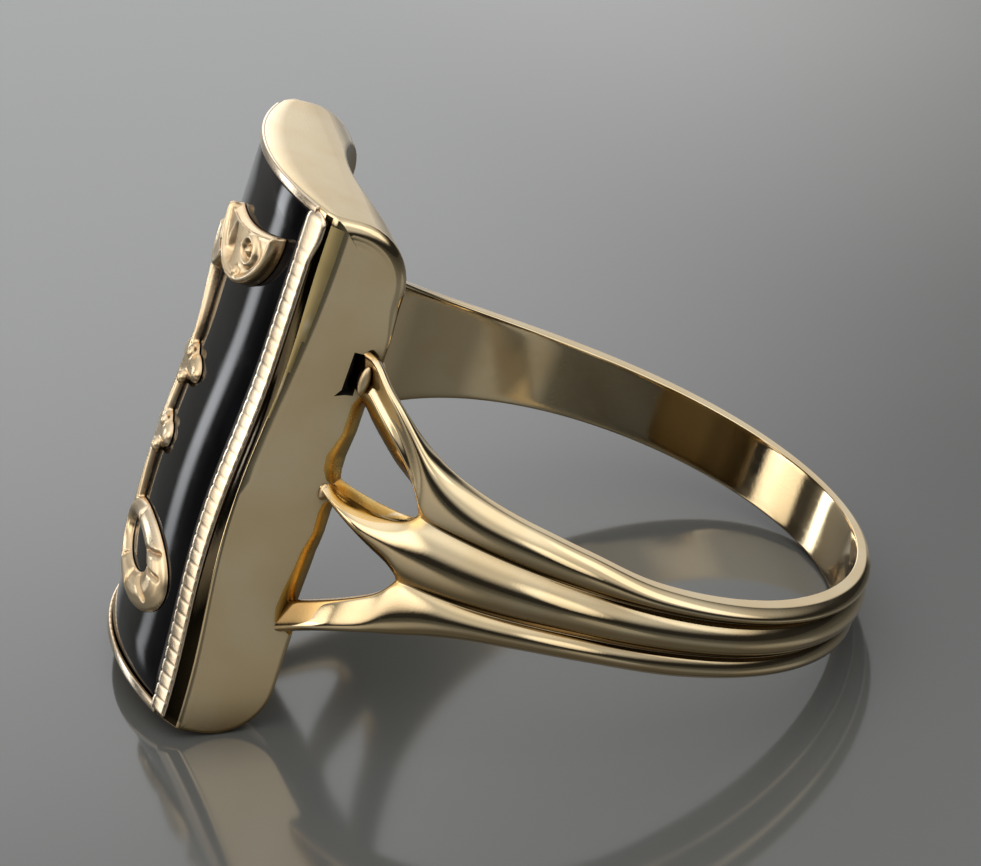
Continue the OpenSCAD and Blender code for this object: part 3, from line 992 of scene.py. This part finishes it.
# Materials; textures are scaled per metre, in the object's own coordinates
class Nodes:
    """Short calls for building a node tree."""

    def __init__(self, tree):
        self.tree = tree
        tree.nodes.clear()

    def node(self, kind, inputs=None, **settings):
        n = self.tree.nodes.new("ShaderNode" + kind)
        for key, value in settings.items():
            setattr(n, key, value)
        for key, value in (inputs or {}).items():
            self.feed(n.inputs[key], value)
        return n

    def feed(self, socket, value):
        if isinstance(value, bpy.types.NodeSocket):
            self.tree.links.new(value, socket)
        else:
            socket.default_value = value

    def noise(self, where, scale, detail=3.0, rough=0.5):
        return self.node("TexNoise", {"Vector": where, "Scale": scale, "Detail": detail,
                                      "Roughness": rough}).outputs["Fac"]

    def ramp(self, value, low, high, to_low=0.0, to_high=1.0):
        return self.node("MapRange", {"Value": value, "From Min": low, "From Max": high,
                                      "To Min": to_low, "To Max": to_high},
                         interpolation_type="SMOOTHSTEP").outputs["Result"]

    def mix(self, amount, a, b, **settings):
        n = self.node("Mix", {0: amount, 6: a, 7: b}, data_type="RGBA", **settings)
        return n.outputs[2]

    def math(self, operation, a, b=0.0):
        return self.node("Math", {0: a, 1: b}, operation=operation).outputs[0]

    def vector_math(self, operation, a, b):
        return self.node("VectorMath", {0: a, 1: b}, operation=operation).outputs["Value"]

    def stretch(self, where, scale, turn):
        return self.node("Mapping", {"Vector": where, "Scale": scale,
                                     "Rotation": turn}).outputs["Vector"]

    def bump(self, height, strength, distance, under=None):
        inputs = {"Height": height, "Strength": strength, "Distance": distance * MM}
        if under:
            inputs["Normal"] = under
        return self.node("Bump", inputs).outputs[0]

    def surface(self, **inputs):
        """Principled shader as the surface; its inputs have _ for a space."""
        named = {key.replace("_", " "): value for key, value in inputs.items()}
        shader = self.node("BsdfPrincipled", named)
        self.node("OutputMaterial", {"Surface": shader.outputs[0]})


def new_material(name):
    material = bpy.data.materials.new(name)
    material.use_nodes = True
    n = Nodes(material.node_tree)
    return material, n, n.node("TexCoord").outputs["Object"]


UNDERSIDE_SHADE, UNDERSIDE_SHADE_COLOUR = 0.75, (0.3, 0.2, 0.08, 1)  # painted shade: gold that faces down is darkened
WORN_COLOUR = (1.0, 0.93, 0.76, 1)
SCRATCH_DEPTH, WAVE_DEPTH = 0.002, 0.06
# painted shade: orange blots at the near crotches, which are also rougher: angle, height over the
# bore, z, core and reach
CROTCH_SHADES = [(-129.4, 0.6, 1.0, 0.1, 0.55), (-129.4, 0.6, -0.86, 0.1, 0.5)]
CROTCH_SHADE_COLOUR, CROTCH_SHADE_RAGGED, CROTCH_SHADE_MEAN, CROTCH_SHADE_ROUGH = (0.92, 0.62, 0.24, 1), 0.25, 0.12, 0.25


def gold_material(name, pale, deep, crevice, rough, scratch, wave, reach=2.0, crotch_shades=(), worn=0.5):
    """Gold with soft colour changes, painted shade in crevices, on downward faces and at the near
    crotches, fine scratches and worn edges.
    """
    material, n, where = new_material(name)
    colour = n.mix(n.ramp(n.noise(where, 420), 0.35, 0.68), (*deep, 1), (*pale, 1))
    # painted shade: ambient occlusion mixes the colour toward the crevice colour in hollows
    hollow = n.node("AmbientOcclusion", {"Distance": reach * MM}, samples=8).outputs["AO"]
    colour = n.mix(n.ramp(hollow, 0.4, 0.97), (*crevice, 1), colour)
    # painted shade: faces turned downwards are mixed toward a dark brown
    geometry = n.node("NewGeometry").outputs
    down = n.node("SeparateXYZ", {0: geometry["Normal"]}).outputs[2]
    colour = n.mix(n.ramp(down, -0.32, -0.04, UNDERSIDE_SHADE, 0.0), colour, UNDERSIDE_SHADE_COLOUR)
    if worn:
        edge = n.ramp(geometry["Pointiness"], 0.6, 0.7, 0.0, worn)
        colour = n.mix(edge, colour, WORN_COLOUR)
    smudge = n.ramp(n.noise(where, 900, 4, 0.6), 0.3, 0.75, 0.0, 0.07)
    rubbed = n.noise(n.stretch(where, (5200, 700, 5200), (0.2, 0.5, 0.3)), 1.0, 2)
    roughness = n.math("ADD", smudge, n.ramp(rubbed, 0.45, 0.8, 0.0, 0.04))
    # painted shade at the crotches: the colour turns orange, raggedly, around each point
    for angle, height, z, core, far in crotch_shades:
        middle = place([around(angle, BORE_R + height, z)])[0]
        ragged = n.math("MULTIPLY", n.noise(where, 2600, 2), CROTCH_SHADE_RAGGED * MM)
        gap = n.math("ADD", n.vector_math("DISTANCE", where, tuple(middle)), ragged)
        blot = n.ramp(gap, (core + CROTCH_SHADE_MEAN) * MM, (far + CROTCH_SHADE_MEAN) * MM, 1.0, 0.0)
        colour = n.mix(blot, colour, CROTCH_SHADE_COLOUR)
        roughness = n.math("ADD", roughness, n.math("MULTIPLY", blot, CROTCH_SHADE_ROUGH))
    lines = n.noise(n.stretch(where, (24000, 1500, 24000), (0.3, -0.4, 0.6)), 1.0, 2)
    bump = n.bump(n.noise(where, 520, 2), wave, WAVE_DEPTH)
    bump = n.bump(n.noise(where, 11000, 2), scratch, SCRATCH_DEPTH, bump)
    bump = n.bump(lines, scratch, SCRATCH_DEPTH, bump)
    roughness = n.math("ADD", roughness, rough)
    n.surface(Base_Color=colour, Metallic=1.0, Normal=bump, Roughness=roughness)
    return material


def painted_shade_material():
    """Near-black painted shade on the walls of the deep gap beside the upper foot."""
    material, n, where = new_material("slot_painted_shade")
    cloud = n.ramp(n.noise(where, 3000), 0.35, 0.7)
    colour = n.mix(cloud, (0.012, 0.01, 0.008, 1), (0.03, 0.022, 0.012, 1))
    n.surface(Base_Color=colour, Roughness=0.6)
    return material


def onyx_material():
    """Polished black stone, faintly clouded, with a few hairlines from wear."""
    material, n, where = new_material("onyx_black")
    cloud = n.ramp(n.noise(where, 300), 0.4, 0.75)
    colour = n.mix(cloud, (0.003, 0.003, 0.0035, 1), (0.01, 0.01, 0.012, 1))
    smudge = n.ramp(n.noise(where, 1100, 4, 0.6), 0.35, 0.8, 0.035, 0.12)
    lines = n.noise(n.stretch(where, (9000, 9000, 500), (0.1, 0.5, 0.2)), 1.0, 2)
    n.surface(Base_Color=colour, Roughness=smudge, IOR=1.36, Normal=n.bump(lines, 0.15, 0.001))
    return material


def floor_material():
    """Pale grey table top with a soft gloss."""
    material, n, where = new_material("floor_pale")
    cloud = n.ramp(n.noise(where, 12), 0.3, 0.7)
    colour = n.mix(cloud, (0.108, 0.112, 0.109, 1), (0.121, 0.125, 0.122, 1))
    rough = n.ramp(n.noise(where, 60), 0.3, 0.7, 0.07, 0.11)
    n.surface(Base_Color=colour, Roughness=rough, IOR=1.65)
    return material


# colour, deeper shade, painted crevice shade, roughness, scratches, waves, the painted crevice
# shade's reach, painted crotch shades, wear
GOLDS = {
    "gold_polished": ((0.93, 0.77, 0.5), (0.88, 0.69, 0.41), (0.15, 0.09, 0.03), 0.04, 0.25, 0.05,
                      2.0, CROTCH_SHADES, 0.0),
    "rose_gold_worn": ((1, 0.84, 0.6), (0.95, 0.74, 0.46), (0.5, 0.25, 0.08), 0.27, 0.5, 0.1, 0.7),
    # rough filed finish; its deep orange is painted shade in the crotches and scoops
    "gold_filed_shaded": ((0.96, 0.66, 0.22), (0.84, 0.48, 0.1), (0.5, 0.24, 0.04), 0.26, 0.9, 0.5, 0.9),
    # pale gold on the beading: worn bright, and partly a painted highlight
    "gold_beaded_lit": ((1, 0.87, 0.68), (0.98, 0.8, 0.58), (0.55, 0.33, 0.16), 0.17, 0.4, 0.05, 0.3),
    # near black: painted dark reflection on the sloped bands beside the beading
    "gold_painted_dark": ((0.055, 0.04, 0.02), (0.04, 0.03, 0.015), (0.02, 0.015, 0.01), 0.06, 0.4, 0.05,
                  2.0, (), 0.0),
    # satin roughness on the side wall's wide front edge; its darker olive colour is painted shade
    "gold_satin_shaded": ((0.68, 0.55, 0.27), (0.6, 0.47, 0.21), (0.2, 0.13, 0.05), 0.42, 0.4, 0.05),
    "gold_solder_pale": ((1, 0.84, 0.56), (1, 0.78, 0.48), (0.55, 0.36, 0.16), 0.38, 0.4, 0.3, 0.3),
}
HEAD_GOLDS = ("gold_polished", "gold_filed_shaded", "gold_painted_dark", "gold_satin_shaded")

# Surroundings
# soft lights: azimuth, elevation, full to this angle, none past this angle, strength, colour
LOBES = [
    (0, 90, 22, 50, 0.55, (1.0, 0.99, 0.97)),
    (98, 38, 12, 24, 0.75, (1.0, 0.98, 0.94)),
    (21, 7, 11, 18, 0.63, (1.0, 0.98, 0.95)),
    (0, 15, 6, 20, 1.35, (0.98, 0.99, 1.0)),
    (174, 25, 8, 18, 0.75, (1.0, 0.97, 0.9)),
    (-73, 1, 8, 12, 1.45, (1.0, 0.94, 0.86)),
    (-76, 11, 6, 11, 1.5, (1.0, 0.94, 0.86)),
    (-33, 5, 10, 24, 0.3, (1.0, 0.96, 0.9)),
    (-106, 30, 12, 27, 1.3, (1.0, 0.92, 0.84)),
]
# strip light: azimuth, half width, softness, both ends of its soft top, strength, colour
STRIP = (-46, 1.0, 4.0, 14, 19, 5.5, (0.93, 0.96, 1.0))
STRIP_AHEAD = (0.3, 0.5)  # keeps it to the side of its azimuth
DOME = (12, 34, 0.02, 0.6)  # dark below the first elevation, bright past the second
FLOOR_HALF = 1.2  # in metres
CAMERA_AT = (-15.723, -98.519, 52.226)
CAMERA_RIGHT = (0.9833, -0.1778, -0.0391)
CAMERA_UP = (0.1099, 0.4081, 0.9063)
CAMERA_BACK = (-0.1452, -0.8954, 0.4208)
CAMERA_LENS = 141.566


def direction(azimuth, elevation):
    """Unit vector: azimuth 0 is +Y, 90 is +X."""
    return (sine(azimuth) * cosine(elevation), cosine(azimuth) * cosine(elevation),
            sine(elevation))


def lit(n, colour, amount, tint):
    """Colour with a grey amount of light of this tint added."""
    light = n.mix(1.0, (*tint, 1), amount, blend_type="MULTIPLY")
    return n.mix(1.0, colour, light, blend_type="ADD", clamp_factor=False)


def build_world():
    world = bpy.data.worlds.new("studio")
    world.use_nodes = True
    n = Nodes(world.node_tree)
    where = n.node("TexCoord").outputs["Generated"]

    def toward(azimuth, elevation):
        return n.vector_math("DOT_PRODUCT", where, direction(azimuth, elevation))

    low, high, dark, bright = DOME
    up = toward(0, 90)
    dome = n.ramp(up, sine(low), sine(high), dark, bright)
    colour = n.node("CombineColor", {0: dome, 1: dome, 2: dome}).outputs[0]
    for azimuth, elevation, full, none, strength, tint in LOBES:
        lobe = n.ramp(toward(azimuth, elevation), cosine(none), cosine(full), 0.0, strength)
        colour = lit(n, colour, lobe, tint)
    azimuth, half, soft, low, high, strength, tint = STRIP
    width = n.ramp(n.math("ABSOLUTE", toward(azimuth + 90, 0)), sine(half), sine(half + soft),
                   1.0, 0.0)
    ahead = n.ramp(toward(azimuth, 0), *STRIP_AHEAD)
    below = n.ramp(up, sine(low), sine(high), strength, 0.0)
    strip = n.math("MULTIPLY", n.math("MULTIPLY", width, ahead), below)
    colour = lit(n, colour, strip, tint)
    background = n.node("Background", {"Color": colour, "Strength": 1.0})
    n.node("OutputWorld", {"Surface": background.outputs[0]})
    bpy.context.scene.world = world


def build_floor():
    corners = [(FLOOR_HALF * x, FLOOR_HALF * y, 0) for x, y in ((-1, -1), (1, -1), (1, 1), (-1, 1))]
    mesh = make_mesh("floor", corners, [(0, 1, 2, 3)])
    mesh.materials.append(floor_material())
    add_object("floor", mesh)


def build_camera():
    camera = bpy.data.cameras.new("camera")
    camera.lens, camera.sensor_width, camera.sensor_fit = CAMERA_LENS, 36, "HORIZONTAL"
    camera.clip_start, camera.clip_end = 0.005, 10
    eye = add_object("camera", camera)
    turn = Matrix((CAMERA_RIGHT, CAMERA_UP, CAMERA_BACK)).transposed().to_4x4()
    eye.matrix_world = Matrix.Translation(Vector(CAMERA_AT) * MM) @ turn
    bpy.context.scene.camera = eye


def main():
    gold = {name: gold_material(name, *values) for name, values in GOLDS.items()}
    build_head(painted_shade_material(), *[gold[name] for name in HEAD_GOLDS])
    build_beading(gold["gold_beaded_lit"])
    build_shank(gold["gold_polished"], gold["gold_filed_shaded"])
    build_solder(gold["gold_solder_pale"])
    build_stone(onyx_material())
    build_ornament(gold["rose_gold_worn"])
    build_floor()
    build_world()
    build_camera()
    bpy.context.scene.view_settings.view_transform = "Standard"


main()
